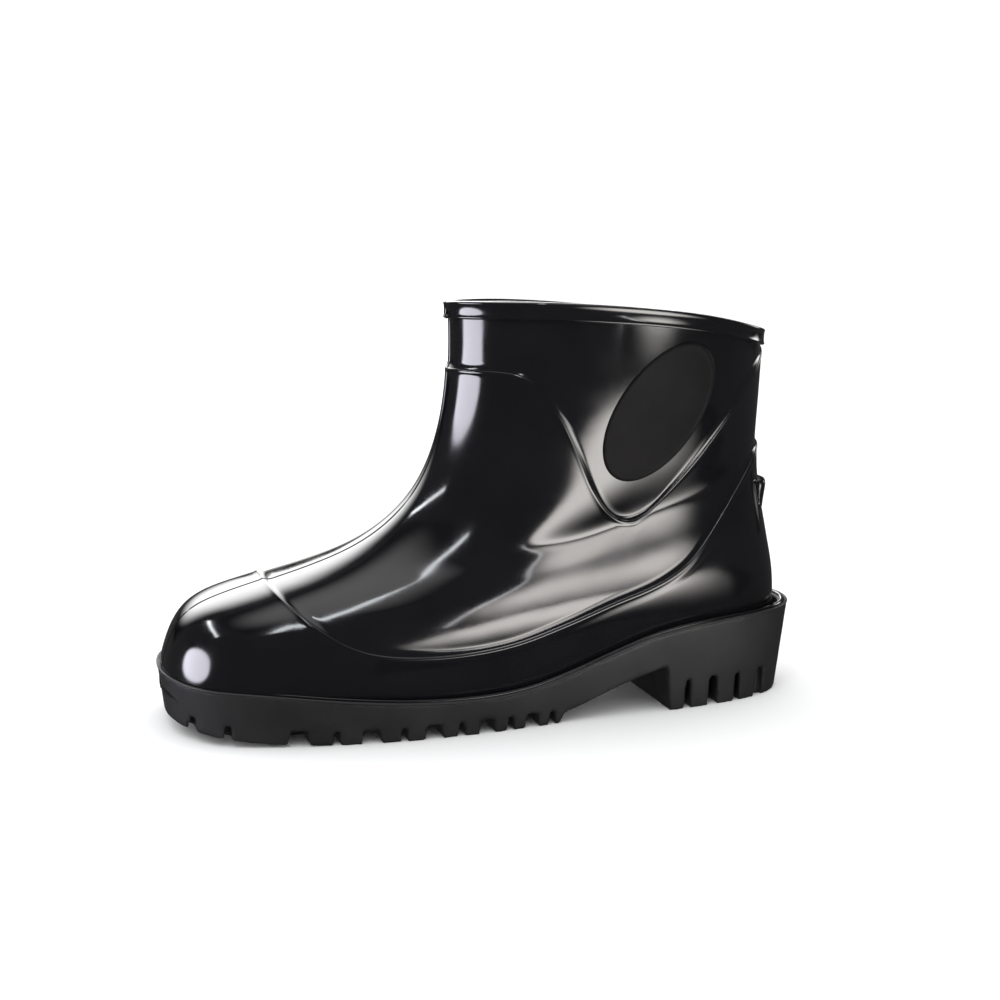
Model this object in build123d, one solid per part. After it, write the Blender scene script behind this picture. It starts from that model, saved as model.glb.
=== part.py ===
from build123d import *
import os
from math import cos, sin, pi

# Ankle-height rubber rain boot, left foot. Millimetres.
# Toe points to -X, heel to +X, the wearer's outer side faces -Y, ground is z = 0.

# ---------------------------------------------------------------- driving dimensions
SOLE_LENGTH = 300.0          # outsole, toe tip to heel back
SOLE_HALF_WIDTH = 56.0       # half width that scales the outsole's outline
SOLE_TAPER = 0.125           # the sole's wall leans in by this much per millimetre downwards
SOLE_TOP = 42.5              # highest point of the sole's wall, behind the heel
TOE_EDGE_TOP = 27.0          # top of the sole's wall at the toe tip
RUBBER = 2.0                 # base rubber of the upper
VAMP_LAYER = 1.1             # vamp panel above the base rubber
FOXING_LAYER = 2.3           # toe cap and foxing above the base rubber
PAD_LAYER = 1.0              # oval ankle pads above the base rubber
RIM_PROUD = 2.0              # rim band above the base rubber
RIM_HEIGHT = 7.6
RIM_TILT, RIM_PIVOT = 2.3, (-45.0, 187.0)   # the rim sinks towards the inner side, degrees; (y, z)
STIFFENER = 0.9              # toe puff and heel counter, let into the base rubber
LINING = 1.0                 # knitted lining
BOARD = 2.0                  # insole board
SHANK_T, SHANK_W = 1.2, 18.0
SHANK_X = (-10.0, 96.0)
INSOLE_FOAM, INSOLE_COVER = 3.2, 0.8
INSOLE_GAP = 0.3             # under the loose insole
INSOLE_SIDE_GAP = 1.4        # around the loose insole
INSOLE_INNER_TRIM = 1.0      # the insole is this much narrower on its inner side
SOLE_INNER_TRIM = 0.7        # and so is the outsole
TREAD_END, HEEL_BREAST = 22.0, 77.0                   # rear of the forefoot tread, heel front
ARCH_LINE = ((24.5, 4.7), (37, 9.2), (50, 14.2), (63, 18.6), (75, 21.6))
TOE_LIFT = 6.8               # height of the ground face at the toe tip
TOE_LIFT_START, TOE_LIFT_LENGTH, TOE_LIFT_CURVE = -80.0, 70.0, 1.6
LUG_DEPTH, HEEL_SLOT_DEPTH = 6.5, 14.0
LUG_START, LUG_PITCH, LUG_SPREAD = 18.4, 9.9, 1.062   # rearmost forefoot slot, first gap, growth
LUG_SLOTS, HEEL_SLOTS = 10, 4
NARROW_SLOT, WIDE_SLOT, WIDE_SLOT_GROWTH, HEEL_WIDE_SLOT = 3.4, 7.5, 0.35, 5.6
TOE_SLOTS = ((-125.5, 3.6), (-139.0, 3.2))            # (x, width)
SLOT_NARROWING = 0.15        # share of its width that a slot loses each side by its top
SLOT_ROOT, HEEL_SLOT_ROOT = 27.0, 24.0                # where the slots end, from the middle
TIP_SLOTS_BEFORE, TIP_SLOT_ROOT = -130.0, 11.0        # and at the toe tip
HEEL_SLOT_START, HEEL_PITCH = 86.3, 13.4
GROOVE_DEPTH, GROOVE_WIDTH, GROOVE_LENGTH, HEEL_GROOVE_LENGTH = 4.0, 4.0, 44.0, 36.0
FILLER_X, FILLER_WIDTH, FILLER_BASE, FILLER_CORNER = (86.0, 128.0), 40.0, 18.0, 12.0
LINING_DROP = 1.5            # the lining ends this far under the rim's top
KICK_LUG_PROFILE = ((122, 101), (139.5, 101), (139.5, 99), (134.5, 88), (122, 88))
KICK_LUG_WIDTH = 30.0
FAR = 90.0                   # half depth of the cutting prisms across the boot
STOCK = 50.0                 # height of the block that the sole is cut from
TOE_PUFF_BOX = ((-155, -85), (-FAR, FAR), (-10, 100))
HEEL_COUNTER_BOX = ((90, 170), (-FAR, FAR), (15, 95))
RING_POINTS = 36             # points round each closed outline

# ---------------------------------------------------------------- shape of the upper
# One row per ring, from below the welt to above the rim:
# front x, front z, back x, back z, outer half width, inner half width,
# leg (0 = foot-shaped outline, 1 = oval), bend (how late the ring climbs to its back end)
RINGS = (
    (-142.0, -2, 142.0, -2, 44.5, 43.5, 0.00, 1.0),
    (-143.5, 12, 142.5, 30, 46.5, 45.5, 0.00, 1.6),
    (-144.3, 23, 141.8, 54, 48.0, 47.0, 0.00, 1.7),
    (-142.8, 34, 138.8, 70, 48.5, 47.5, 0.05, 1.7),
    (-136.5, 47.5, 135.8, 83, 47.0, 46.0, 0.08, 1.7),
    (-123.0, 55.8, 133.4, 94, 44.0, 43.0, 0.16, 1.7),
    (-104.0, 62, 132.0, 103, 41.0, 40.0, 0.30, 1.6),
    (-82.0, 68.5, 131.3, 111, 39.0, 38.5, 0.42, 1.5),
    (-60.0, 77.3, 131.2, 119, 39.0, 39.0, 0.58, 1.4),
    (-42.0, 90, 131.5, 128, 39.8, 39.8, 0.75, 1.3),
    (-29.0, 107, 132.0, 138, 41.0, 41.0, 0.88, 1.2),
    (-21.0, 129, 132.5, 150, 43.0, 43.0, 1.00, 1.1),
    (-17.0, 154, 133.0, 165, 44.8, 44.8, 1.00, 1.0),
    (-16.5, 180, 133.5, 182, 46.0, 46.0, 1.00, 1.0),
    (-17.0, 204, 134.0, 204, 47.0, 47.0, 1.00, 1.0),
)
TOP_RING = len(RINGS) - 1
# how wide the foot outline is against a plain oval, from toe (0) to heel (1)
FOOT_OUTER = ((0, 1.74), (0.05, 1.57), (0.1, 1.36), (0.2, 1.14), (0.34, 1.02),
              (0.5, 0.91), (0.62, 0.85), (0.8, 0.93), (0.92, 1.08), (1, 1.3))
FOOT_INNER = ((0, 2.7), (0.05, 1.80), (0.1, 1.45), (0.2, 1.14), (0.32, 1.02),
              (0.46, 0.88), (0.58, 0.80), (0.8, 0.93), (0.92, 1.08), (1, 1.3))
TOE_SWING = 6.5              # the toe bends towards the inner side

# side-view lines, as (x, z) points
WELT_LINE = ((-152, 27), (-135, 25.6), (-120, 24.6), (-100, 22.6), (-75, 19.8), (-45, 17.2),
             (-15, 16.4), (8, 18.3), (28, 23.4), (50, 31), (66, 36.2), (82, 39.3), (100, 41),
             (125, 42), (152, 42.5))
BED_LINE = ((-152, 19), (-135, 16.8), (-120, 15.4), (-100, 13.6), (-75, 11.4), (-45, 10.2),
            (-15, 10.2), (8, 12), (28, 15.9), (50, 22), (66, 26.2), (82, 29.6), (100, 32),
            (125, 33.4), (152, 34))
FOXING_LINE = ((-160, 97), (-120, 88), (-107, 73), (-101, 62.5), (-94, 56.5), (-86, 50.8),
               (-76, 44.5), (-65, 40.2), (-50, 37.8), (-25, 37.2), (0, 39.6), (25, 46),
               (48, 53.5), (66, 59), (78, 64.2), (88, 71), (102, 86), (116, 102.5),
               (132, 121), (150, 140))
COLLAR_LINE = ((-170, 157.5), (-30, 157.5), (-5, 158), (4, 157.2), (10, 154.8), (17, 148),
               (24, 137), (31, 122), (38, 106), (46, 95), (56, 89.5), (65, 92), (76, 102),
               (88, 114.5), (100, 128), (114, 144.5), (131, 163), (150, 183))
RIM_LINE = ((-170, 189.5), (-60, 189.5), (-18, 189), (20, 188.4), (60, 185.5), (95, 181),
            (134, 173), (150, 169))
PAD_CENTRE, PAD_AXES, PAD_TILT = (69.0, 139.0), (35.5, 20.6), 53.0


def through(points, x):
    """Smooth curve through (x, y) points, read at x."""
    last = len(points) - 1
    i = max(j for j in range(last) if j == 0 or points[j][0] <= x)
    (x0, y0), (x1, y1) = points[i], points[i + 1]
    before, after = points[max(i - 1, 0)], points[min(i + 2, last)]
    slope0 = (y1 - before[1]) / (x1 - before[0])
    slope1 = (after[1] - y0) / (after[0] - x0)
    h = x1 - x0
    t = (x - x0) / h
    return ((2 * t ** 3 - 3 * t * t + 1) * y0 + (t ** 3 - 2 * t * t + t) * h * slope0
            + (3 * t * t - 2 * t ** 3) * y1 + (t ** 3 - t * t) * h * slope1)


def ring_row(v):
    """Ring table read between its rows."""
    i = min(int(v), TOP_RING - 1)
    t = v - i
    b, c = RINGS[i], RINGS[i + 1]
    a = RINGS[i - 1] if i else [2 * p - q for p, q in zip(b, c)]
    d = RINGS[i + 2] if i + 2 <= TOP_RING else [2 * q - p for p, q in zip(b, c)]
    return [0.5 * (2 * q + (r - p) * t + (2 * p - 5 * q + 4 * r - s) * t * t
                   + (3 * q - p - 3 * r + s) * t ** 3) for p, q, r, s in zip(a, b, c, d)]


def foot_point(u, front, back, outer, inner, leg):
    """Plan outline of a foot or leg: u = 0 toe, 0.25 outer side, 0.5 heel, 0.75 inner side."""
    angle = 2 * pi * u
    s = (1 - cos(angle)) / 2
    foot = through(FOOT_OUTER if u <= 0.5 else FOOT_INNER, s)
    width = (outer if u <= 0.5 else inner) * (foot + (1 - foot) * leg)
    swing = TOE_SWING * (1 - leg) * max(0, 1 - s / 0.45) ** 2
    return front + (back - front) * s, swing - width * sin(angle), s


def skin(u, v):
    """A point of the upper's base rubber surface."""
    front, front_z, back, back_z, outer, inner, leg, bend = ring_row(v)
    x, y, s = foot_point(u, front, back, outer, inner, leg)
    return Vector(x, y, front_z + (back_z - front_z) * s ** bend)


def offset_point(u, v, distance):
    """A point at a distance outside the base rubber surface.

    The end rings stay level, and an inner layer reaches past the ends of an outer one.
    """
    step = 0.004
    low, high = max(v - 10 * step, 0), min(v + 10 * step, TOP_RING)
    along = skin((u + step) % 1, v) - skin((u - step) % 1, v)
    normal = along.cross(skin(u, high) - skin(u, low))
    if v in (0, TOP_RING):
        normal = Vector(normal.X, normal.Y, 0)
        reach = Vector(0, 0, distance if v == 0 else -distance)
        return skin(u, v) + normal.normalized() * distance + reach
    return skin(u, v) + normal.normalized() * distance


def loop(points):
    """Smooth closed wire; every loop has the same evenly spaced knots, so lofts stay light."""
    count = len(points)
    knots = [i / count for i in range(count + 1)]
    return Wire([Edge.make_spline(points, parameters=knots, periodic=True)])


def envelope(distance):
    """Closed solid inside the upper's surface moved outwards by distance."""
    return Solid.make_loft([
        loop([offset_point(i / RING_POINTS, v, distance) for i in range(RING_POINTS)])
        for v in range(TOP_RING + 1)])


def block(x, y, z):
    """Box between (low, high) limits."""
    return (Pos(*[sum(limits) / 2 for limits in (x, y, z)])
            * Box(*[limits[1] - limits[0] for limits in (x, y, z)]))


def side_prism(*edges):
    """Prism right across the boot from side-view edges."""
    return extrude(Face(Wire(edges)), amount=2 * FAR, dir=(0, 1, 0))


def at(x, z):
    return (x, -FAR, z)


def side_curve(points, rise=0.0):
    return Spline([at(x, z + rise) for x, z in points])


def below(points, rise=0.0, floor=-30.0):
    """Everything under a side-view line."""
    (x0, z0), (x1, z1) = points[0], points[-1]
    return side_prism(side_curve(points, rise), Line(at(x1, z1 + rise), at(x1, floor)),
                      Line(at(x1, floor), at(x0, floor)), Line(at(x0, floor), at(x0, z0 + rise)))


def above(points, rise=0.0):
    """Everything over a side-view line."""
    return below(points, rise, 260.0)


def below_rim(rise=0.0):
    """Everything under the tilted rim line."""
    return below(RIM_LINE, rise).rotate(Axis((0, *RIM_PIVOT), (1, 0, 0)), -RIM_TILT)


def plan_wire(inset, z):
    """Outsole outline at height z, moved inwards by inset from the sole's wall."""
    lean = SOLE_TAPER * (SOLE_TOP - z)
    front = -SOLE_LENGTH / 2 - SOLE_TAPER * (SOLE_TOP - TOE_EDGE_TOP) + inset + lean
    back = SOLE_LENGTH / 2 - inset - lean
    width = SOLE_HALF_WIDTH - inset - lean
    points = [foot_point(i / RING_POINTS, front, back, width, width - SOLE_INNER_TRIM, 0)[:2]
              for i in range(RING_POINTS)]
    return loop([Vector(x, y, z) for x, y in points])


def plan_prism(inset, low, high):
    """Foot-shaped block between two heights."""
    return Solid.make_loft([plan_wire(inset, low), plan_wire(inset, high)])


def make_upper_layers():
    base, vamp, foxing = envelope(0), envelope(VAMP_LAYER), envelope(FOXING_LAYER)
    inner, deep = envelope(-RUBBER), envelope(-RUBBER + STIFFENER)
    sock = envelope(-RUBBER - LINING)
    raised = envelope(RIM_PROUD)
    pad = envelope(PAD_LAYER)
    over_bed, under_rim = above(BED_LINE), below_rim()
    room = over_bed & under_rim
    under_fox, under_collar = below(FOXING_LINE), below(COLLAR_LINE)
    parts = {}

    stiffeners = (deep - inner) & over_bed
    parts["toe_puff"] = stiffeners & block(*TOE_PUFF_BOX)
    parts["heel_counter"] = stiffeners & block(*HEEL_COUNTER_BOX)
    parts["upper_shell"] = ((base - inner) & room) - parts["toe_puff"] - parts["heel_counter"]
    under_band = below_rim(-RIM_HEIGHT)
    parts["vamp_panel"] = ((vamp - base) & under_collar & over_bed & under_band) - under_fox
    parts["foxing_band"] = (foxing - base) & under_fox & over_bed
    parts["rim_band"] = ((raised - base) & under_rim) - under_band
    pads = (pad & pad_prism()) - base
    parts["ankle_pad_outer"] = pads & block((-40, 160), (-FAR, 0), (20, 220))
    parts["ankle_pad_inner"] = pads & block((-40, 160), (0, FAR), (20, 220))
    parts["kick_lug"] = make_kick_lug() - foxing
    lining_floor = above(BED_LINE, BOARD)
    parts["lining_sock"] = ((inner & lining_floor) - (sock & above(BED_LINE, BOARD + LINING))
                            ) & below_rim(-LINING_DROP)
    board = (inner & over_bed) - lining_floor
    shank = make_shank()
    parts["insole_board"] = board - shank
    parts["shank"] = shank
    return parts, foxing & over_bed


def pad_prism():
    ring = Pos(PAD_CENTRE[0], -FAR, PAD_CENTRE[1]) * Rot(90, 0, 0) * Rot(0, 0, PAD_TILT)
    return extrude(ring * Ellipse(*PAD_AXES), amount=2 * FAR, dir=(0, 1, 0))


def make_kick_lug():
    """Ledge behind the heel that the other foot pushes down on."""
    profile = Polyline(*[at(x, z) for x, z in KICK_LUG_PROFILE], close=True)
    half = KICK_LUG_WIDTH / 2
    return side_prism(*profile.edges()) & block((115, 155), (-half, half), (75, 115))


def make_shank():
    strip = block(SHANK_X, (-SHANK_W / 2, SHANK_W / 2), (-30, 90))
    return (strip & above(BED_LINE)) - above(BED_LINE, SHANK_T)


def make_outsole(cup):
    tip, heel = -SOLE_LENGTH / 2 - 2, SOLE_LENGTH / 2 + 2
    bottom = Spline(*[at(x, toe_lift(x)) for x in (tip, -135, -115, -95, TOE_LIFT_START)])
    side = side_prism(
        bottom, Line(at(TOE_LIFT_START, 0), at(TREAD_END, 0)),
        Line(at(TREAD_END, 0), at(*ARCH_LINE[0])), Spline(*[at(x, z) for x, z in ARCH_LINE]),
        Line(at(*ARCH_LINE[-1]), at(HEEL_BREAST, 0)), Line(at(HEEL_BREAST, 0), at(heel, 0)),
        Line(at(heel, 0), at(heel, WELT_LINE[-1][1])), side_curve(WELT_LINE),
        Line(at(tip, WELT_LINE[0][1]), at(tip, toe_lift(tip))))
    filler = make_heel_filler()
    sole = (plan_prism(0, 0, STOCK) & side) - cup - filler
    for cutter in tread_cutters():
        sole = sole - cutter
    return sole, filler


def make_heel_filler():
    half = FILLER_WIDTH / 2
    core = block(FILLER_X, (-half, half), (FILLER_BASE, STOCK))
    return fillet(core.edges().filter_by(Axis.Z), FILLER_CORNER) & below(BED_LINE)


def slot(x, width, base, height, side):
    """Tapered slot in the sole's edge, narrower at its top."""
    inner_y = SLOT_ROOT if x < TREAD_END else HEEL_SLOT_ROOT
    if x < TIP_SLOTS_BEFORE:
        inner_y = TIP_SLOT_ROOT
    w, t = width / 2, width * (0.5 - SLOT_NARROWING)
    face = Face(Wire(Polyline((x - w, side * inner_y, base - 5), (x + w, side * inner_y, base - 5),
                              (x + t, side * inner_y, base + height),
                              (x - t, side * inner_y, base + height), close=True).edges()))
    return extrude(face, amount=FAR, dir=(0, side, 0))


def toe_lift(x):
    """Height of the ground face under the toe."""
    return TOE_LIFT * max(0.0, (TOE_LIFT_START - x) / TOE_LIFT_LENGTH) ** TOE_LIFT_CURVE


def tread_cutters():
    """Side slots, narrow and wide in turn, and the cross grooves between them."""
    slots = []
    x, gap = LUG_START, LUG_PITCH
    fore = []
    for i in range(LUG_SLOTS):
        fore.append((x, WIDE_SLOT + WIDE_SLOT_GROWTH * i if i % 2 else NARROW_SLOT))
        x, gap = x - gap, gap * LUG_SPREAD
    fore += TOE_SLOTS
    for x, width in fore:
        for side in (-1, 1):
            slots.append(slot(x, width, toe_lift(x), LUG_DEPTH, side))
    for (x, _), (next_x, _) in zip(fore, fore[1:]):
        middle = (x + next_x) / 2
        slots.append(Pos(middle, 0, toe_lift(middle))
                     * Box(GROOVE_WIDTH, GROOVE_LENGTH, 2 * GROOVE_DEPTH))
    for i in range(HEEL_SLOTS):
        x = HEEL_SLOT_START + i * HEEL_PITCH
        for side in (-1, 1):
            width = HEEL_WIDE_SLOT if i % 2 else NARROW_SLOT
            slots.append(slot(x, width, 0, HEEL_SLOT_DEPTH, side))
        slots.append(Pos(x + HEEL_PITCH / 2, 0, 0)
                     * Box(GROOVE_WIDTH, HEEL_GROOVE_LENGTH, 2 * GROOVE_DEPTH))
    return slots


def make_insole():
    floor = BOARD + LINING + INSOLE_GAP
    front, back, width = RINGS[1][0], RINGS[1][2], RINGS[1][4]
    inset = RUBBER + LINING + INSOLE_SIDE_GAP
    outline = [foot_point(i / RING_POINTS, front + inset, back - inset, width - inset,
                          width - inset - INSOLE_INNER_TRIM, 0)[:2]
               for i in range(RING_POINTS)]
    sheet = Solid.make_loft([loop([Vector(x, y, z) for x, y in outline]) for z in (0, 80)])
    foam_top, cover_top = floor + INSOLE_FOAM, floor + INSOLE_FOAM + INSOLE_COVER
    foam = sheet & above(BED_LINE, floor) & below(BED_LINE, foam_top)
    cover = sheet & above(BED_LINE, foam_top) & below(BED_LINE, cover_top)
    return foam, cover


parts, cup = make_upper_layers()
parts["outsole"], parts["heel_filler"] = make_outsole(cup)
parts["insole_foam"], parts["insole_cover"] = make_insole()

os.makedirs("parts", exist_ok=True)
for node, shape in parts.items():
    solids = shape.solids()
    print(node, len(solids), [round(s.volume) for s in solids], shape.is_valid)
    export_step(shape, "parts/" + node + ".step")
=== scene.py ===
import math

import bmesh
import bpy
import numpy as np
from mathutils import Matrix, Vector


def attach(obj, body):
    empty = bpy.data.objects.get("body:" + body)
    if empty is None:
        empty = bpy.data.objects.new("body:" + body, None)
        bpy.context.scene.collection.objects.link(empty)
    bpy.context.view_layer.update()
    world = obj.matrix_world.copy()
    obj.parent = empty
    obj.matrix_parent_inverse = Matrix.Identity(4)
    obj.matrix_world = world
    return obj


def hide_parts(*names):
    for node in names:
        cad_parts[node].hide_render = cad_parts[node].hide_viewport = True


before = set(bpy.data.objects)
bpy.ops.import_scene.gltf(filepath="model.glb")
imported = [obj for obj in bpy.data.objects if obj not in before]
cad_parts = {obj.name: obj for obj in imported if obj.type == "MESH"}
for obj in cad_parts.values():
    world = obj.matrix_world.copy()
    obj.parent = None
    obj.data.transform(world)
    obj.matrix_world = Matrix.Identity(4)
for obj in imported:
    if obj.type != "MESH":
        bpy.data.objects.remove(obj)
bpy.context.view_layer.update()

MM = 0.001

# ------------------------------------------------------------------ the boot's surface, in mm
# One row per ring of the upper, from below the welt to above the rim: front x, front z,
# back x, back z, outer half width, inner half width, leg, bend (see ring_rows and skin).
RINGS = np.array((
    (-142.0, -2, 142.0, -2, 44.5, 43.5, 0.00, 1.0),
    (-143.5, 12, 142.5, 30, 46.5, 45.5, 0.00, 1.6),
    (-144.3, 23, 141.8, 54, 48.0, 47.0, 0.00, 1.7),
    (-142.8, 34, 138.8, 70, 48.5, 47.5, 0.05, 1.7),
    (-136.5, 47.5, 135.8, 83, 47.0, 46.0, 0.08, 1.7),
    (-123.0, 55.8, 133.4, 94, 44.0, 43.0, 0.16, 1.7),
    (-104.0, 62, 132.0, 103, 41.0, 40.0, 0.30, 1.6),
    (-82.0, 68.5, 131.3, 111, 39.0, 38.5, 0.42, 1.5),
    (-60.0, 77.3, 131.2, 119, 39.0, 39.0, 0.58, 1.4),
    (-42.0, 90, 131.5, 128, 39.8, 39.8, 0.75, 1.3),
    (-29.0, 107, 132.0, 138, 41.0, 41.0, 0.88, 1.2),
    (-21.0, 129, 132.5, 150, 43.0, 43.0, 1.00, 1.1),
    (-17.0, 154, 133.0, 165, 44.8, 44.8, 1.00, 1.0),
    (-16.5, 180, 133.5, 182, 46.0, 46.0, 1.00, 1.0),
    (-17.0, 204, 134.0, 204, 47.0, 47.0, 1.00, 1.0),
))
TOP_RING = len(RINGS) - 1
FOOT_OUTER = ((0, 1.74), (0.05, 1.57), (0.1, 1.36), (0.2, 1.14), (0.34, 1.02),
              (0.5, 0.91), (0.62, 0.85), (0.8, 0.93), (0.92, 1.08), (1, 1.3))
FOOT_INNER = ((0, 2.7), (0.05, 1.80), (0.1, 1.45), (0.2, 1.14), (0.32, 1.02),
              (0.46, 0.88), (0.58, 0.80), (0.8, 0.93), (0.92, 1.08), (1, 1.3))
TOE_SWING = 6.5

# side-view lines, as (x, z)
WELT_LINE = ((-152, 27), (-135, 25.6), (-120, 24.6), (-100, 22.6), (-75, 19.8), (-45, 17.2),
             (-15, 16.4), (8, 18.3), (28, 23.4), (50, 31), (66, 36.2), (82, 39.3), (100, 41),
             (125, 42), (152, 42.5))
BED_LINE = ((-152, 19), (-135, 16.8), (-120, 15.4), (-100, 13.6), (-75, 11.4), (-45, 10.2),
            (-15, 10.2), (8, 12), (28, 15.9), (50, 22), (66, 26.2), (82, 29.6), (100, 32),
            (125, 33.4), (152, 34))
FOXING_LINE = ((-160, 97), (-120, 88), (-107, 73), (-101, 62.5), (-94, 56.5), (-86, 50.8),
               (-76, 44.5), (-65, 40.2), (-50, 37.8), (-25, 37.2), (0, 39.6), (25, 46),
               (48, 53.5), (66, 59), (78, 64.2), (88, 71), (102, 86), (116, 102.5),
               (132, 121), (150, 140))
COLLAR_LINE = ((-170, 157.5), (-30, 157.5), (-5, 158), (4, 157.2), (10, 154.8), (17, 148),
               (24, 137), (31, 122), (38, 106), (46, 95), (56, 89.5), (65, 92), (76, 102),
               (88, 114.5), (100, 128), (114, 144.5), (131, 163), (150, 183))
RIM_LINE = ((-170, 189.5), (-60, 189.5), (-18, 189), (20, 188.4), (60, 185.5), (95, 181),
            (134, 173), (150, 169))
PAD_CENTRE, PAD_AXES, PAD_TILT = (69.0, 139.0), (35.5, 20.6), math.radians(53)

RUBBER, LINING, LINING_DROP = 2.0, 1.0, 0.6
VAMP_LEVEL, FOXING_LEVEL, PAD_LEVEL, RIM_LEVEL = 1.1, 2.3, 1.0, 2.0
RIM_HEIGHT = 7.6
RIM_SLOPE, RIM_PIVOT = 0.0402, -45.0
SEAM_HEIGHT, SEAM_WIDTH = 0.34, 0.55
FOXING_TUCK, TOE_FLARE = 1.9, 2.8
INSOLE_GAP = 1.4
FOAM_HEIGHTS, COVER_HEIGHTS = (3.3, 6.5), (6.5, 7.3)
LINING_ABOVE_BED = 2.0
KICK_LUG_REACH, KICK_LUG_FADE = 0.048, 0.16
SOLE_VOXEL, SOFTEN_FACTOR, SOFTEN_ROUNDS = 0.85, 0.5, 4
# a wave texture at this scale has bands 1 m apart
WAVE_SCALE = 0.314
SOLE_HALF_WIDTH, SOLE_TAPER, SOLE_TOP, TOE_EDGE_TOP = 56.0, 0.125, 42.5, 27.0


# small steps for slopes along u and v, and the halvings that find a crossing
DU, DV = 0.002, 0.03
HALVINGS = 40
AROUND_COUNT = 420


def through(points, x):
    """Smooth curve through (x, y) points, read at the values x."""
    xs, ys = np.array(points, float).T
    i = np.clip(np.searchsorted(xs, x, side="right") - 1, 0, len(xs) - 2)
    before, after = np.maximum(i - 1, 0), np.minimum(i + 2, len(xs) - 1)
    slope0 = (ys[i + 1] - ys[before]) / (xs[i + 1] - xs[before])
    slope1 = (ys[after] - ys[i]) / (xs[after] - xs[i])
    h = xs[i + 1] - xs[i]
    t = (x - xs[i]) / h
    return ((2 * t ** 3 - 3 * t * t + 1) * ys[i] + (t ** 3 - 2 * t * t + t) * h * slope0
            + (3 * t * t - 2 * t ** 3) * ys[i + 1] + (t ** 3 - t * t) * h * slope1)


def spline_bends(xs, ys):
    """Second derivatives at the knots of a natural cubic spline, which keeps gloss smooth."""
    h = np.diff(xs)
    count = len(xs)
    system, right = np.eye(count), np.zeros(ys.shape)
    for i in range(1, count - 1):
        system[i, i - 1:i + 2] = h[i - 1], 2 * (h[i - 1] + h[i]), h[i]
        right[i] = 6 * ((ys[i + 1] - ys[i]) / h[i] - (ys[i] - ys[i - 1]) / h[i - 1])
    return np.linalg.solve(system, right)


def spline(xs, ys, bends, x):
    i = np.clip(np.searchsorted(xs, x, side="right") - 1, 0, len(xs) - 2)
    h = xs[i + 1] - xs[i]
    t = (x - xs[i]) / h
    if ys.ndim > 1:
        h, t = h[..., None], t[..., None]
    return ((1 - t) * ys[i] + t * ys[i + 1]
            + (((1 - t) ** 3 - (1 - t)) * bends[i] + (t ** 3 - t) * bends[i + 1]) * h * h / 6)


RING_NUMBERS = np.arange(len(RINGS), dtype=float)
RING_BENDS = spline_bends(RING_NUMBERS, RINGS)
OUTER_S, OUTER_WIDTH = np.array(FOOT_OUTER, float).T
INNER_S, INNER_WIDTH = np.array(FOOT_INNER, float).T
OUTER_BENDS = spline_bends(OUTER_S, OUTER_WIDTH)
INNER_BENDS = spline_bends(INNER_S, INNER_WIDTH)


def ring_rows(v):
    """The ring table read between its rows, for an array of ring numbers v."""
    return np.moveaxis(spline(RING_NUMBERS, RINGS, RING_BENDS, v), -1, 0)


def foot_outline(u, front, back, outer, inner, leg):
    """Plan outline: u = 0 toe, 0.25 outer side, 0.5 heel, 0.75 inner side."""
    angle = 2 * np.pi * u
    s = (1 - np.cos(angle)) / 2
    near = (u % 1.0) <= 0.5
    foot = np.where(near, spline(OUTER_S, OUTER_WIDTH, OUTER_BENDS, s),
                    spline(INNER_S, INNER_WIDTH, INNER_BENDS, s))
    width = np.where(near, outer, inner) * (foot + (1 - foot) * leg)
    swing = TOE_SWING * (1 - leg) * np.maximum(0, 1 - s / 0.45) ** 2
    return front + (back - front) * s, swing - width * np.sin(angle), s


def skin(u, v):
    """Points of the base rubber's outside."""
    u, v = np.broadcast_arrays(np.asarray(u, float), np.asarray(v, float))
    front, front_z, back, back_z, outer, inner, leg, bend = ring_rows(v)
    x, y, s = foot_outline(u, front, back, outer, inner, leg)
    return np.stack([x, y, front_z + (back_z - front_z) * s ** bend], -1)


def skin_frame(u, v):
    """Point, outward normal and length of one ring step at (u, v)."""
    point = skin(u, v)
    along = skin(u + DU, v) - skin(u - DU, v)
    up = (skin(u, v + DV) - skin(u, v - DV)) / (2 * DV)
    normal = np.cross(along, up)
    normal /= np.linalg.norm(normal, axis=-1, keepdims=True)
    return point, normal, np.linalg.norm(up, axis=-1)


def ring_at(u, line, low, high, rise=0.0, slope=0.0):
    """Ring number at which each line of constant u crosses a side-view line.

    The line can sink towards the inner side by a slope.
    """
    low, high = np.full(u.shape, float(low)), np.full(u.shape, float(high))
    for _ in range(HALVINGS):
        middle = (low + high) / 2
        point = skin(u, middle)
        drop = slope * (point[..., 1] - RIM_PIVOT)
        over = point[..., 2] > through(line, point[..., 0]) + rise - drop
        high, low = np.where(over, middle, high), np.where(over, low, middle)
    return (low + high) / 2


def around(count):
    """Closed run of u, packed closely at the mould seams of toe and heel."""
    near = [0.0004, 0.0008, 0.0012, 0.0017, 0.0024, 0.0034, 0.0048, 0.0068]
    offsets = [0.0] + near + [-n for n in near]
    ends = [o % 1.0 for o in offsets] + [0.5 + o for o in offsets]
    plain = [i / count for i in range(count)]
    spaced = [p for p in plain if min(abs(p), abs(p - 0.5), abs(p - 1)) > 0.0085]
    return np.array(sorted(ends + spaced))


U = around(AROUND_COUNT)


def seam(u, v):
    """Raised mould line up the toe and instep, and up the back."""
    length = np.linalg.norm(skin(u + DU / 2, v) - skin(u - DU / 2, v), axis=-1) / DU
    distance = np.abs((u + 0.25) % 0.5 - 0.25) * length
    return SEAM_HEIGHT * np.exp(-(distance / SEAM_WIDTH) ** 2)


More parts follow.
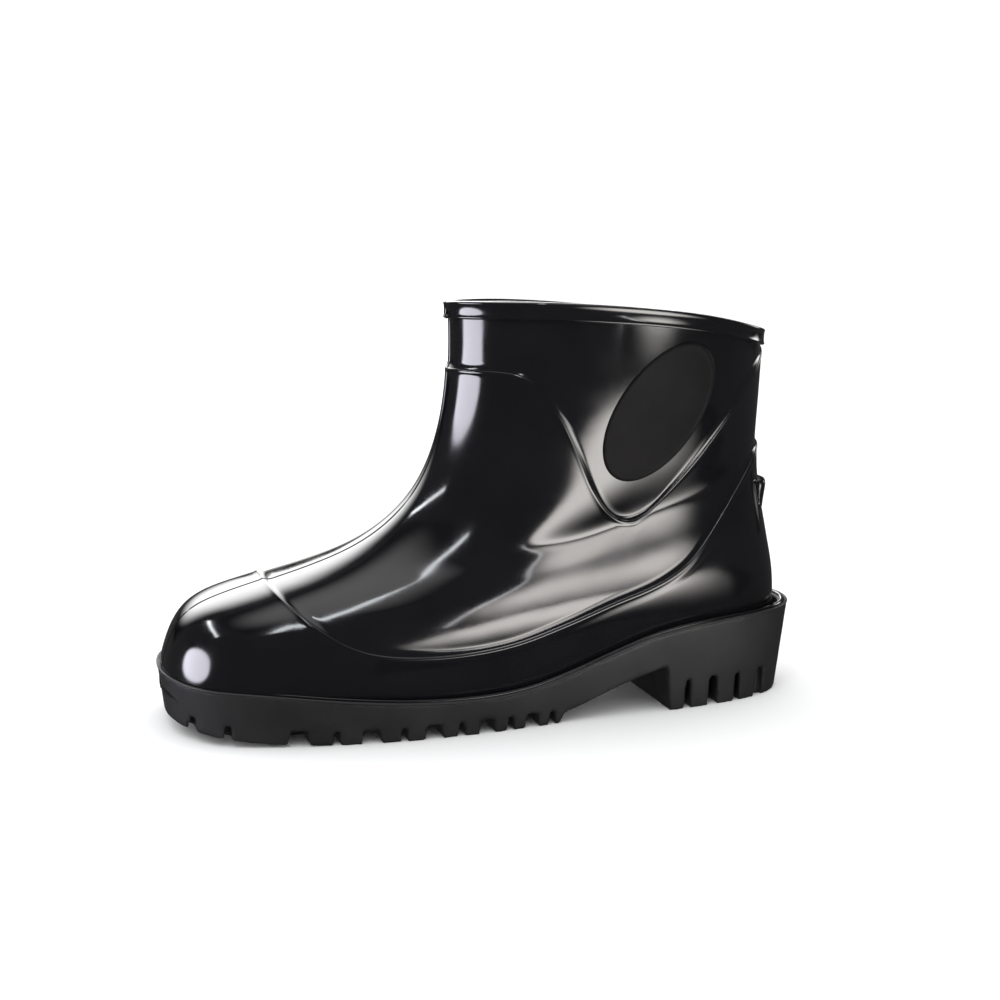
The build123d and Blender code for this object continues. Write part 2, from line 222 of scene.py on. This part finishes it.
# ------------------------------------------------------------------ mesh helpers
def new_object(name, verts, faces, smooth=True):
    mesh = bpy.data.meshes.new(name)
    mesh.from_pydata([tuple(p) for p in verts], [], [tuple(map(int, f)) for f in faces])
    mesh.validate()
    obj = bpy.data.objects.new(name, mesh)
    bpy.context.collection.objects.link(obj)
    work = bmesh.new()
    work.from_mesh(mesh)
    bmesh.ops.recalc_face_normals(work, faces=work.faces)
    work.to_mesh(mesh)
    work.free()
    mesh.polygons.foreach_set("use_smooth", [smooth] * len(mesh.polygons))
    return obj


def band(name, rows):
    """Closed mesh from rows of points round the boot; the last row joins the first."""
    rows = np.asarray(rows)
    count, around_count = rows.shape[:2]
    faces = []
    for r in range(count):
        a, b = r * around_count, (r + 1) % count * around_count
        for i in range(around_count):
            j = (i + 1) % around_count
            faces.append((a + i, a + j, b + j, b + i))
    return new_object(name, rows.reshape(-1, 3) * MM, faces)


def edge_scale(u, v):
    """Ring numbers per mm measured square to a panel edge that runs along (u, v)."""
    point, _, ring_length = skin_frame(u, v)
    tangent = np.roll(point, -1, axis=0) - np.roll(point, 1, axis=0)
    tangent /= np.linalg.norm(tangent, axis=-1, keepdims=True)
    up = skin(u, v + DV) - skin(u, v - DV)
    up /= np.linalg.norm(up, axis=-1, keepdims=True)
    square = np.sqrt(np.clip(1 - np.sum(tangent * up, -1) ** 2, 0.2, 1))
    return 1 / (ring_length * square)


def outside(u, v, level):
    point, normal, _ = skin_frame(u, v)
    return point + normal * np.asarray(level)[..., None]


# distances from a panel's upper edge at which it gets a row
EDGE_STEPS = (5.0, 3.6, 2.7, 2.1, 1.7, 1.3, 1.0, 0.75, 0.5, 0.3, 0.14, 0.04, 0.0)
LIP_FROM_EDGE, LIP_WIDTH = 1.2, 0.8
TUCK_POWER = 1.3


def rounded(distance, radius):
    """How far a rounded edge has dropped at a distance from its end."""
    inside = np.maximum(radius - distance, 0)
    return radius - math.sqrt(radius ** 2 - inside ** 2)


def lip(distance, height):
    """Fine raised line that runs beside a panel's edge."""
    return height * math.exp(-((distance - LIP_FROM_EDGE) / LIP_WIDTH) ** 2)


def panel_rows(bottom, top, level, count, edge_radius, lip_height, tuck=0.0):
    """Rows of a raised panel's outside, from its lower line to its rounded upper edge.

    The lower line can be tucked in under the level.
    """
    scale = edge_scale(U, top)
    last = top - EDGE_STEPS[0] * scale
    rows = []
    for t in np.linspace(0, 1, count):
        v = bottom + (last - bottom) * t
        rows.append(outside(U, v, level + seam(U, v) - tuck * (1 - t) ** TUCK_POWER))
    for distance in EDGE_STEPS[1:]:
        v = top - distance * scale
        height = level - rounded(distance, edge_radius) + lip(distance, lip_height)
        rows.append(outside(U, v, height + seam(U, v)))
    return rows


def under_rows(bottom, top, level, count):
    return [outside(U, top + (bottom - top) * t, np.full(U.shape, level))
            for t in np.linspace(0, 1, count)]


# ------------------------------------------------------------------ the upper
bed = ring_at(U, BED_LINE, 0.05, 5)
foxing_edge = ring_at(U, FOXING_LINE, 0.5, 12)
collar_edge = ring_at(U, COLLAR_LINE, 3, 13.5)
rim = ring_at(U, RIM_LINE, 10, TOP_RING - 0.05, 0.0, RIM_SLOPE)
rim_foot = ring_at(U, RIM_LINE, 10, TOP_RING - 0.05, -RIM_HEIGHT, RIM_SLOPE)


def make_foxing_band():
    """Toe cap, foxing and heel counter cover: one raised layer round the foot."""
    x = skin(U, bed)[:, 0]
    tuck = FOXING_TUCK * np.clip((x + 90) / 70, 0, 1) - TOE_FLARE * np.clip((-x - 70) / 50, 0, 1)
    rows = panel_rows(bed + 0.02, foxing_edge, FOXING_LEVEL, 80, 0.9, 0.22, tuck=tuck)
    rows += under_rows(bed + 0.02, foxing_edge, 0.3, 12)
    return band("foxing_band_rubber", rows)


def fillet_rise(edge, height, reach):
    """Concave rise of a layer where it meets the raised edge that lies below it."""
    scale = edge_scale(U, edge)

    def rise(v):
        distance = (v - edge) / scale
        return height * np.clip(1 - distance / reach, 0, 1) ** 2.2
    return rise


def make_vamp_panel():
    """Vamp and ankle strap: the middle layer."""
    rise = fillet_rise(foxing_edge, 0.75, 3.0)
    scale = edge_scale(U, foxing_edge)
    rows = [outside(U, foxing_edge + d * scale, VAMP_LEVEL + rise(foxing_edge + d * scale)
                    + seam(U, foxing_edge + d * scale))
            for d in (-1.0, -0.3, 0.0, 0.3, 0.6, 1.0, 1.5, 2.1)]
    rows += panel_rows(foxing_edge + 3.0 * scale, collar_edge, VAMP_LEVEL, 90, 0.7, 0.18)
    rows += under_rows(foxing_edge - 1.0 * scale, collar_edge, -0.3, 12)
    return band("vamp_panel_rubber", rows)


def make_upper_shell():
    """Base rubber: outside, turned rim, and inside against the lining."""
    rise = fillet_rise(collar_edge, 0.7, 3.2)
    scale = edge_scale(U, collar_edge)
    rows = [outside(U, bed + (collar_edge - scale * 1.5 - bed) * t, np.zeros(U.shape))
            for t in np.linspace(0, 1, 26)]
    for distance in (-1.0, -0.4, 0.0, 0.3, 0.6, 1.0, 1.5, 2.1, 3.0):
        v = collar_edge + distance * scale
        rows.append(outside(U, v, rise(v) + seam(U, v)))
    start = collar_edge + 4.0 * scale
    for t in np.linspace(0, 1, 40):
        v = start + (rim - 0.02 - start) * t
        rows.append(outside(U, v, rise(v) + seam(U, v) * (1 - t ** 6)))
    rows += [outside(U, rim, np.full(U.shape, level)) for level in (-0.3, -1.0, -1.7)]
    rows += under_rows(bed, rim - 0.03, -RUBBER, 40)
    return band("upper_shell_rubber", rows)


def make_rim_band():
    """Binding round the top: a flat band with rounded lips, rolled over the edge."""
    scale = 1 / skin_frame(U, rim)[2]
    section = [(0.0, 0.1), (0.0, 1.5), (0.2, 1.95), (0.55, 2.15), (1.0, 2.1), (1.5, 1.95),
               (2.2, 1.85), (3.2, 1.8), (4.4, 1.8), (5.4, 1.85), (6.2, 1.95), (6.8, 2.1),
               (7.2, 2.1), (7.5, 1.85), (7.7, 1.35), (7.8, 0.6), (7.8, -0.4), (7.65, -1.2),
               (7.3, -1.7), (6.5, -1.95), (5.0, -2.0), (5.0, -1.2), (5.0, 0.0), (2.0, -0.2)]
    rows = [outside(U, rim_foot + up * scale, np.full(U.shape, out) + seam(U, rim) * (out > 1))
            for up, out in section]
    return band("rim_band_rubber", rows)


def make_lining():
    """Knitted lining inside the leg and foot, ending just under the rim."""
    top = rim - LINING_DROP / skin_frame(U, rim)[2]
    start = ring_at(U, BED_LINE, 0.05, 5, LINING_ABOVE_BED)
    rows = under_rows(top, start, -RUBBER, 60)
    rows += under_rows(start, top, -RUBBER - LINING, 60)
    return band("lining_knit", rows)


def side_solution(x, z, near):
    """(u, v) of the skin point seen at (x, z) from one side, by a few Newton steps."""
    u = np.full(x.shape, 0.30 if near else 0.70)
    v = np.full(x.shape, 11.0)
    for _ in range(30):
        p = skin(u, v)
        du, dv = (skin(u + 1e-4, v) - p) / 1e-4, (skin(u, v + 1e-3) - p) / 1e-3
        ex, ez = x - p[..., 0], z - p[..., 2]
        det = du[..., 0] * dv[..., 2] - dv[..., 0] * du[..., 2]
        u = u + np.clip((ex * dv[..., 2] - dv[..., 0] * ez) / det, -0.03, 0.03)
        v = v + np.clip((du[..., 0] * ez - ex * du[..., 2]) / det, -0.8, 0.8)
    return u, v


def make_ankle_pad(name, near):
    """Oval raised pad: flat face, rounded rim and a shallow moat inside its edge."""
    turns = np.linspace(0, 2 * np.pi, 120, endpoint=False)
    rings = [(k, -0.3) for k in np.linspace(0.04, 0.94, 19)]
    rings += [(1.0, -0.3), (1.0, 0.35), (0.995, 0.65), (0.985, 0.9), (0.97, 1.05), (0.95, 1.12),
              (0.93, 1.05), (0.905, 0.9), (0.88, 0.85)]
    rings += [(k, 0.85 + 0.15 * (1 - k)) for k in np.linspace(0.8, 0.04, 20)]
    rows = []
    for size, level in rings:
        a, b = PAD_AXES[0] * size * np.cos(turns), PAD_AXES[1] * size * np.sin(turns)
        x = PAD_CENTRE[0] + a * math.cos(PAD_TILT) - b * math.sin(PAD_TILT)
        z = PAD_CENTRE[1] + a * math.sin(PAD_TILT) + b * math.cos(PAD_TILT)
        u, v = side_solution(x, z, near)
        rows.append(outside(u, v, np.full(u.shape, level)))
    rows = np.array(rows)
    count, n = rows.shape[:2]
    verts = rows.reshape(-1, 3)
    faces = [(r * n + i, r * n + (i + 1) % n, (r + 1) * n + (i + 1) % n, (r + 1) * n + i)
             for r in range(count - 1) for i in range(n)]
    faces.append(tuple(range((count - 1) * n, count * n)))
    faces.append(tuple(reversed(range(n))))
    return new_object(name, verts * MM, faces)


def make_kick_lug():
    """Ledge behind the heel that the other foot holds down, tapering away below."""
    profile = [(88, -0.4), (88, 0.1), (90.5, 0.9), (93.5, 2.0), (96.5, 3.0), (98.2, 3.45),
               (99.4, 3.5), (100.2, 3.2), (100.6, 2.6), (100.8, 1.6), (101, 0.2), (101, -0.4)]
    us = np.linspace(0.5 - KICK_LUG_REACH, 0.5 + KICK_LUG_REACH, 44)
    fade = np.sqrt(np.clip((1 - np.abs(us - 0.5) / KICK_LUG_REACH) / KICK_LUG_FADE, 0, 1))
    rows = []
    for z, out in profile:
        v = np.array([side_height(u, z) for u in us])
        level = FOXING_LEVEL - 0.4 + np.maximum(out, 0) * fade + min(out, 0)
        rows.append(outside(us, v, level))
    rows = np.array(rows)
    count, n = rows.shape[:2]
    faces = [(r * n + i, r * n + i + 1, (r + 1) % count * n + i + 1, (r + 1) % count * n + i)
             for r in range(count) for i in range(n - 1)]
    faces.append(tuple(r * n for r in range(count)))
    faces.append(tuple(r * n + n - 1 for r in reversed(range(count))))
    return new_object("kick_lug_rubber", rows.reshape(-1, 3) * MM, faces)


def side_height(u, z):
    """Ring number at which the line of constant u reaches height z."""
    low, high = 1.0, float(TOP_RING)
    for _ in range(HALVINGS):
        middle = (low + high) / 2
        low, high = (low, middle) if skin(u, middle)[2] > z else (middle, high)
    return (low + high) / 2


# ------------------------------------------------------------------ the sole and insole
def sole_outline(u, z, inset=0.0):
    """Outline of the outsole's wall at height z."""
    lean = SOLE_TAPER * (SOLE_TOP - z)
    front = -150 - SOLE_TAPER * (SOLE_TOP - TOE_EDGE_TOP) + inset + lean
    width = SOLE_HALF_WIDTH - inset - lean
    x, y, _ = foot_outline(u, front, 150 - inset - lean, width, width - 0.7, 0)
    return x, y


def make_outsole():
    """The moulded sole: the CAD form with its edges softened as rubber is."""
    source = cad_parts["outsole"]
    mesh = source.data.copy()
    obj = bpy.data.objects.new("outsole_rubber", mesh)
    bpy.context.collection.objects.link(obj)
    remesh = obj.modifiers.new("even", "REMESH")
    remesh.mode = "VOXEL"
    remesh.voxel_size = SOLE_VOXEL * MM
    smooth = obj.modifiers.new("soften", "SMOOTH")
    smooth.factor, smooth.iterations = SOFTEN_FACTOR, SOFTEN_ROUNDS
    graph = bpy.context.evaluated_depsgraph_get()
    done = bpy.data.meshes.new_from_object(obj.evaluated_get(graph))
    obj.modifiers.clear()
    obj.data = done
    done.polygons.foreach_set("use_smooth", [True] * len(done.polygons))
    return obj


def make_bead(name, inset, rise, radius):
    """Fine bead round the sole, at a rise above the welt line."""
    x, y = sole_outline(U, 30.0, inset)
    for _ in range(3):
        z = through(WELT_LINE, x) + rise
        x, y = sole_outline(U, z - rise, inset)
    centre = np.stack([x, y, z], -1)
    tangent = np.roll(centre, -1, 0) - np.roll(centre, 1, 0)
    tangent /= np.linalg.norm(tangent, axis=-1, keepdims=True)
    out = np.cross(tangent, np.array([0, 0, 1.0]))
    out /= np.linalg.norm(out, axis=-1, keepdims=True)
    rows = []
    for a in np.linspace(0, 2 * np.pi, 10, endpoint=False):
        rows.append(centre + radius * (math.cos(a) * out + math.sin(a) * np.array([0, 0, 1.0])))
    return band(name, rows)


def insole_outline(u, inset):
    front, _, back, _, outer = RINGS[1][:5]
    gap = RUBBER + LINING + INSOLE_GAP + inset
    x, y, _ = foot_outline(u, front + gap, back - gap, outer - gap, outer - gap - 1, 0)
    return np.stack([x, y], -1)


def make_insole_layer(name, low, high):
    """Foot-shaped sheet over the bed with rounded edges, between two heights above it."""
    us = np.linspace(0, 1, 240, endpoint=False)
    steps = [(3.0, low), (0.3, low), (0.0, low + 0.3), (0.0, high - 0.5), (0.15, high - 0.2),
             (0.5, high)] + [(k, high) for k in (1.5, 4, 8, 12, 16, 20, 24, 28, 31)]
    rows = []
    for inset, rise in steps:
        xy = insole_outline(us, inset)
        rows.append(np.column_stack([xy, through(BED_LINE, xy[:, 0]) + rise]))
    rows = np.array(rows)
    count, n = rows.shape[:2]
    faces = [(r * n + i, r * n + (i + 1) % n, (r + 1) * n + (i + 1) % n, (r + 1) * n + i)
             for r in range(count - 1) for i in range(n)]
    half = n // 2
    for base, flip in (((count - 1) * n, False), (0, True)):
        for i in range(half):
            quad = [base + i, base + i + 1, base + (n - i - 1) % n, base + (n - i) % n]
            if i == 0:
                quad = [base, base + 1, base + n - 1]
            elif i == half - 1:
                quad = [base + i, base + half, base + half + 1]
            faces.append(tuple(reversed(quad)) if flip else tuple(quad))
    return new_object(name, rows.reshape(-1, 3) * MM, faces)


# ------------------------------------------------------------------ materials
def new_material(name):
    material = bpy.data.materials.new(name)
    material.use_nodes = True
    nodes, links = material.node_tree.nodes, material.node_tree.links
    shader = nodes["Principled BSDF"]
    coords = nodes.new("ShaderNodeTexCoord")
    return material, nodes, links, shader, coords.outputs["Object"]


def noise(nodes, links, coords, scale, detail=3.0, roughness=0.5):
    node = nodes.new("ShaderNodeTexNoise")
    node.inputs["Scale"].default_value = scale
    node.inputs["Detail"].default_value = detail
    node.inputs["Roughness"].default_value = roughness
    links.new(coords, node.inputs["Vector"])
    return node


def ramp(nodes, links, factor, low, high, a, b):
    """Maps a factor between low and high to the colours or values a to b."""
    node = nodes.new("ShaderNodeValToRGB")
    node.color_ramp.elements[0].position, node.color_ramp.elements[1].position = low, high
    for element, value in zip(node.color_ramp.elements, (a, b)):
        element.color = (*value, 1) if isinstance(value, tuple) else (value, value, value, 1)
    links.new(factor, node.inputs["Fac"])
    return node.outputs["Color"]


def bump(nodes, links, height, strength, distance, normal=None):
    node = nodes.new("ShaderNodeBump")
    node.inputs["Strength"].default_value = strength
    node.inputs["Distance"].default_value = distance
    links.new(height, node.inputs["Height"])
    if normal is not None:
        links.new(normal, node.inputs["Normal"])
    return node.outputs["Normal"]


def rubber_material(name, colour, dark, rough, coat, grain, grain_depth):
    """Moulded rubber: slow colour drift, polished patches and fine skin."""
    material, nodes, links, shader, coords = new_material(name)
    slow = noise(nodes, links, coords, 28, 2)
    links.new(ramp(nodes, links, slow.outputs["Fac"], 0.3, 0.7, dark, colour),
              shader.inputs["Base Color"])
    patches = noise(nodes, links, coords, 75, 5, 0.62)
    links.new(ramp(nodes, links, patches.outputs["Fac"], 0.3, 0.75, rough[0], rough[1]),
              shader.inputs["Roughness"])
    fine = noise(nodes, links, coords, grain, 3, 0.6)
    wave = noise(nodes, links, coords, 55, 1)
    first = bump(nodes, links, wave.outputs["Fac"], 0.10, 0.0012)
    links.new(bump(nodes, links, fine.outputs["Fac"], grain_depth, 0.0002, first),
              shader.inputs["Normal"])
    shader.inputs["Coat Weight"].default_value = coat
    shader.inputs["Coat Roughness"].default_value = 0.06
    shader.inputs["Specular IOR Level"].default_value = 0.5
    return material


def knit_material(name, dark, light, pitch):
    """Fine jersey: rows of loops with soft fuzz."""
    material, nodes, links, shader, coords = new_material(name)
    waves = []
    for direction, scale in (("Z", 1.0), ("X", 1.3), ("Y", 1.3)):
        node = nodes.new("ShaderNodeTexWave")
        node.bands_direction = direction
        node.inputs["Scale"].default_value = scale * WAVE_SCALE / pitch
        node.inputs["Distortion"].default_value = 1.5
        node.inputs["Detail"].default_value = 1.0
        links.new(coords, node.inputs["Vector"])
        waves.append(node.outputs["Fac"])
    mix = nodes.new("ShaderNodeMath")
    mix.operation = "MULTIPLY"
    links.new(waves[0], mix.inputs[0])
    add = nodes.new("ShaderNodeMath")
    add.operation = "MAXIMUM"
    links.new(waves[1], add.inputs[0])
    links.new(waves[2], add.inputs[1])
    links.new(add.outputs[0], mix.inputs[1])
    fuzz = noise(nodes, links, coords, 900, 2)
    total = nodes.new("ShaderNodeMath")
    total.operation = "ADD"
    links.new(mix.outputs[0], total.inputs[0])
    links.new(fuzz.outputs["Fac"], total.inputs[1])
    links.new(ramp(nodes, links, total.outputs[0], 0.3, 1.3, dark, light),
              shader.inputs["Base Color"])
    links.new(bump(nodes, links, total.outputs[0], 0.6, 0.0004), shader.inputs["Normal"])
    shader.inputs["Roughness"].default_value = 0.92
    shader.inputs["Sheen Weight"].default_value = 0.25
    shader.inputs["Sheen Roughness"].default_value = 0.5
    return material


def plain_material(name, dark, light, rough, scale, metallic=0.0, depth=0.3):
    """Inner parts: speckled board, foam and steel strip."""
    material, nodes, links, shader, coords = new_material(name)
    speck = noise(nodes, links, coords, scale, 4, 0.6)
    links.new(ramp(nodes, links, speck.outputs["Fac"], 0.35, 0.65, dark, light),
              shader.inputs["Base Color"])
    links.new(ramp(nodes, links, speck.outputs["Fac"], 0.3, 0.7, rough - 0.08, rough + 0.08),
              shader.inputs["Roughness"])
    links.new(bump(nodes, links, speck.outputs["Fac"], depth, 0.0003), shader.inputs["Normal"])
    shader.inputs["Metallic"].default_value = metallic
    return material


gloss = rubber_material("gloss_rubber", (0.0062, 0.0062, 0.0075), (0.0042, 0.0042, 0.0050),
                        (0.09, 0.15), 0.35, 1500, 0.05)
satin = rubber_material("sole_rubber", (0.020, 0.020, 0.022), (0.011, 0.011, 0.012),
                        (0.42, 0.58), 0.0, 1300, 0.35)
pad_satin = rubber_material("pad_rubber", (0.0075, 0.0070, 0.0078), (0.0055, 0.0050, 0.0055),
                            (0.50, 0.60), 0.0, 1800, 0.30)
pad_satin.node_tree.nodes["Principled BSDF"].inputs["Specular IOR Level"].default_value = 0.07
knit = knit_material("knit_lining", (0.09, 0.09, 0.10), (0.34, 0.34, 0.36), 0.0011)
cover_knit = knit_material("insole_cover", (0.05, 0.05, 0.055), (0.16, 0.16, 0.17), 0.0014)
foam = plain_material("eva_foam", (0.10, 0.10, 0.11), (0.16, 0.16, 0.17), 0.85, 900)
board = plain_material("fibre_board", (0.30, 0.22, 0.13), (0.50, 0.39, 0.26), 0.8, 420)
resin = plain_material("stiffener_sheet", (0.20, 0.18, 0.15), (0.30, 0.27, 0.23), 0.7, 600)
steel = plain_material("shank_steel", (0.45, 0.46, 0.48), (0.62, 0.63, 0.65), 0.32, 250, 1.0, 0.1)


def dress(obj, material):
    obj.data.materials.clear()
    obj.data.materials.append(material)


def place(obj, node, material, body="boot"):
    dress(obj, material)
    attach(obj, body)
    if node:
        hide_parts(node)
    return obj


place(make_upper_shell(), "upper_shell", gloss)
place(make_vamp_panel(), "vamp_panel", gloss)
place(make_foxing_band(), "foxing_band", gloss)
place(make_rim_band(), "rim_band", gloss)
place(make_ankle_pad("ankle_pad_outer_rubber", True), "ankle_pad_outer", pad_satin)
place(make_ankle_pad("ankle_pad_inner_rubber", False), "ankle_pad_inner", pad_satin)
place(make_kick_lug(), "kick_lug", gloss)
place(make_outsole(), "outsole", satin)
place(make_bead("welt_edge_bead", 0.55, -0.35, 0.7), None, satin)
place(make_bead("welt_inner_bead", 2.6, 0.3, 0.9), None, gloss)
place(make_lining(), "lining_sock", knit)
place(make_insole_layer("insole_foam_body", *FOAM_HEIGHTS), "insole_foam", foam,
      "insole")
place(make_insole_layer("insole_cover_knit", *COVER_HEIGHTS), "insole_cover", cover_knit,
      "insole")
for node, material in (("heel_filler", foam), ("shank", steel), ("insole_board", board),
                       ("toe_puff", resin), ("heel_counter", resin)):
    dress(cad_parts[node], material)

# ------------------------------------------------------------------ stage, camera and light
TARGET = Vector((0.0168, 0.0315, 0.0897))
AZIMUTH, ELEVATION, DISTANCE, LENS = -17.1, 10.1, 0.8619, 64.8
SENSOR_WIDTH, NEAREST_SEEN = 36.0, 0.01
FLOOR_SIZE = 6.0
ROOM_LIGHT, ROOM_MIRRORED = 1.25, 0.05


def direction(azimuth, elevation):
    """Unit vector: azimuth 0 looks from the near side, -90 from the toe, in degrees."""
    a, e = math.radians(azimuth), math.radians(elevation)
    return Vector((math.sin(a) * math.cos(e), -math.cos(a) * math.cos(e), math.sin(e)))


def make_camera():
    data = bpy.data.cameras.new("camera")
    data.lens, data.sensor_width = LENS, SENSOR_WIDTH
    data.clip_start = NEAREST_SEEN
    camera = bpy.data.objects.new("camera", data)
    bpy.context.collection.objects.link(camera)
    camera.location = TARGET + direction(AZIMUTH, ELEVATION) * DISTANCE
    camera.rotation_euler = (TARGET - camera.location).to_track_quat("-Z", "Y").to_euler()
    bpy.context.scene.camera = camera


def make_floor():
    """White table, left out of the boot's reflections as the studio's dark flags do."""
    size = FLOOR_SIZE
    obj = new_object("studio_floor", [(-size, -size, 0), (size, -size, 0), (size, size, 0),
                                      (-size, size, 0)], [(0, 1, 2, 3)], False)
    material, nodes, links, shader, coords = new_material("studio_floor")
    tone = noise(nodes, links, coords, 3, 2)
    links.new(ramp(nodes, links, tone.outputs["Fac"], 0.3, 0.7, 0.92, 0.94),
              shader.inputs["Base Color"])
    shader.inputs["Roughness"].default_value = 0.9
    dress(obj, material)
    obj.visible_glossy = False


def strip_lamp(name, start, end, width, brightness, colour, target):
    """Soft strip of a given brightness between two points, unseen by the camera."""
    start, end, target = Vector(start), Vector(end), Vector(target)
    along, middle = end - start, (start + end) / 2
    data = bpy.data.lights.new(name, "AREA")
    data.shape = "RECTANGLE"
    data.size, data.size_y = along.length, width
    data.energy, data.color = brightness * math.pi * along.length * width, colour
    obj = bpy.data.objects.new(name, data)
    bpy.context.collection.objects.link(obj)
    obj.location = middle
    back = (middle - target).normalized()
    side = (along - back * along.dot(back)).normalized()
    obj.rotation_euler = Matrix((side, back.cross(side), back)).transposed().to_euler()
    obj.visible_camera = False


def soft_card(name, middle, size, brightness, colour, facing, core):
    """Glowing panel, seen only in reflections, that fades from its core to its edge."""
    x, y = size[0] / 2, size[1] / 2
    obj = new_object(name, [(-x, -y, 0), (x, -y, 0), (x, y, 0), (-x, y, 0)], [(0, 1, 2, 3)], False)
    material = bpy.data.materials.new(name)
    material.use_nodes = True
    nodes, links = material.node_tree.nodes, material.node_tree.links
    nodes.remove(nodes["Principled BSDF"])
    coords = nodes.new("ShaderNodeTexCoord")
    scaled = nodes.new("ShaderNodeVectorMath")
    scaled.operation = "MULTIPLY"
    scaled.inputs[1].default_value = (1 / x, 1 / y, 0)
    links.new(coords.outputs["Object"], scaled.inputs[0])
    radius = nodes.new("ShaderNodeVectorMath")
    radius.operation = "LENGTH"
    links.new(scaled.outputs["Vector"], radius.inputs[0])
    fade = nodes.new("ShaderNodeMapRange")
    fade.interpolation_type = "SMOOTHSTEP"
    fade.inputs["From Min"].default_value, fade.inputs["From Max"].default_value = core, 1.0
    fade.inputs["To Min"].default_value, fade.inputs["To Max"].default_value = brightness, 0.0
    links.new(radius.outputs["Value"], fade.inputs["Value"])
    glow = nodes.new("ShaderNodeEmission")
    glow.inputs["Color"].default_value = (*colour, 1)
    links.new(fade.outputs["Result"], glow.inputs["Strength"])
    links.new(glow.outputs["Emission"], nodes["Material Output"].inputs["Surface"])
    dress(obj, material)
    obj.location = middle
    obj.rotation_euler = (Vector(facing) - Vector(middle)).to_track_quat("Z", "Y").to_euler()
    obj.visible_camera = obj.visible_diffuse = obj.visible_shadow = False


def make_world():
    """White room that shows only faintly in glossy surfaces."""
    world = bpy.data.worlds.new("studio")
    bpy.context.scene.world = world
    world.use_nodes = True
    nodes, links = world.node_tree.nodes, world.node_tree.links
    path = nodes.new("ShaderNodeLightPath")
    strength = nodes.new("ShaderNodeMapRange")
    strength.inputs["To Min"].default_value = ROOM_LIGHT
    strength.inputs["To Max"].default_value = ROOM_MIRRORED
    links.new(path.outputs["Is Glossy Ray"], strength.inputs["Value"])
    nodes["Background"].inputs["Color"].default_value = (1, 1, 1, 1)
    links.new(strength.outputs["Result"], nodes["Background"].inputs["Strength"])


make_camera()
make_floor()
make_world()
bpy.context.scene.view_settings.view_transform = "Standard"
BOOT_MIDDLE = (0.0, 0.0, 0.09)
soft_card("window", (-1.1, 0.13, 0.14), (0.84, 0.42), 11, (0.90, 0.89, 1.0), (-0.02, 0, 0.13),
          0.80)
strip_lamp("back_strip", (-0.64, 0.66, 0.71), (-0.99, 0.02, 0.63), 0.05, 14,
           (0.95, 0.97, 1.0), BOOT_MIDDLE)
strip_lamp("front_strip", (-0.16, -0.28, 1.13), (-0.44, -0.85, 0.69), 0.05, 14,
           (0.93, 0.97, 1.0), BOOT_MIDDLE)
strip_lamp("low_strip", (0.24, -1.05, 0.02), (0.46, -0.97, 0.32), 0.03, 9,
           (0.97, 0.97, 1.0), BOOT_MIDDLE)
soft_card("warm_card", (0.55, -0.92, 0.12), (0.62, 0.40), 9, (1.0, 0.97, 0.93),
          (0.04, 0, 0.08), 0.15)
soft_card("table_glow", (0.19, -0.36, 0.002), (0.50, 0.50), 10, (1.0, 0.97, 0.93),
          (0.19, -0.36, 1), 0.30)
soft_card("ceiling", (0.0, 0.0, 1.5), (2.6, 2.6), 1.3, (1, 1, 1), (0, 0, 0), 0.2)
soft_card("backdrop", (-0.07, 1.4, 0.62), (2.2, 1.2), 4.2, (1, 1, 1), (-0.07, 0, 0.07), 0.25)
soft_card("heel_card", (1.1, 0.35, 0.35), (0.45, 0.7), 5, (1.0, 0.98, 0.95), BOOT_MIDDLE, 0.4)
soft_card("inner_card", (0.35, 1.15, 0.10), (0.8, 0.5), 5, (1.0, 0.98, 0.95), BOOT_MIDDLE, 0.3)
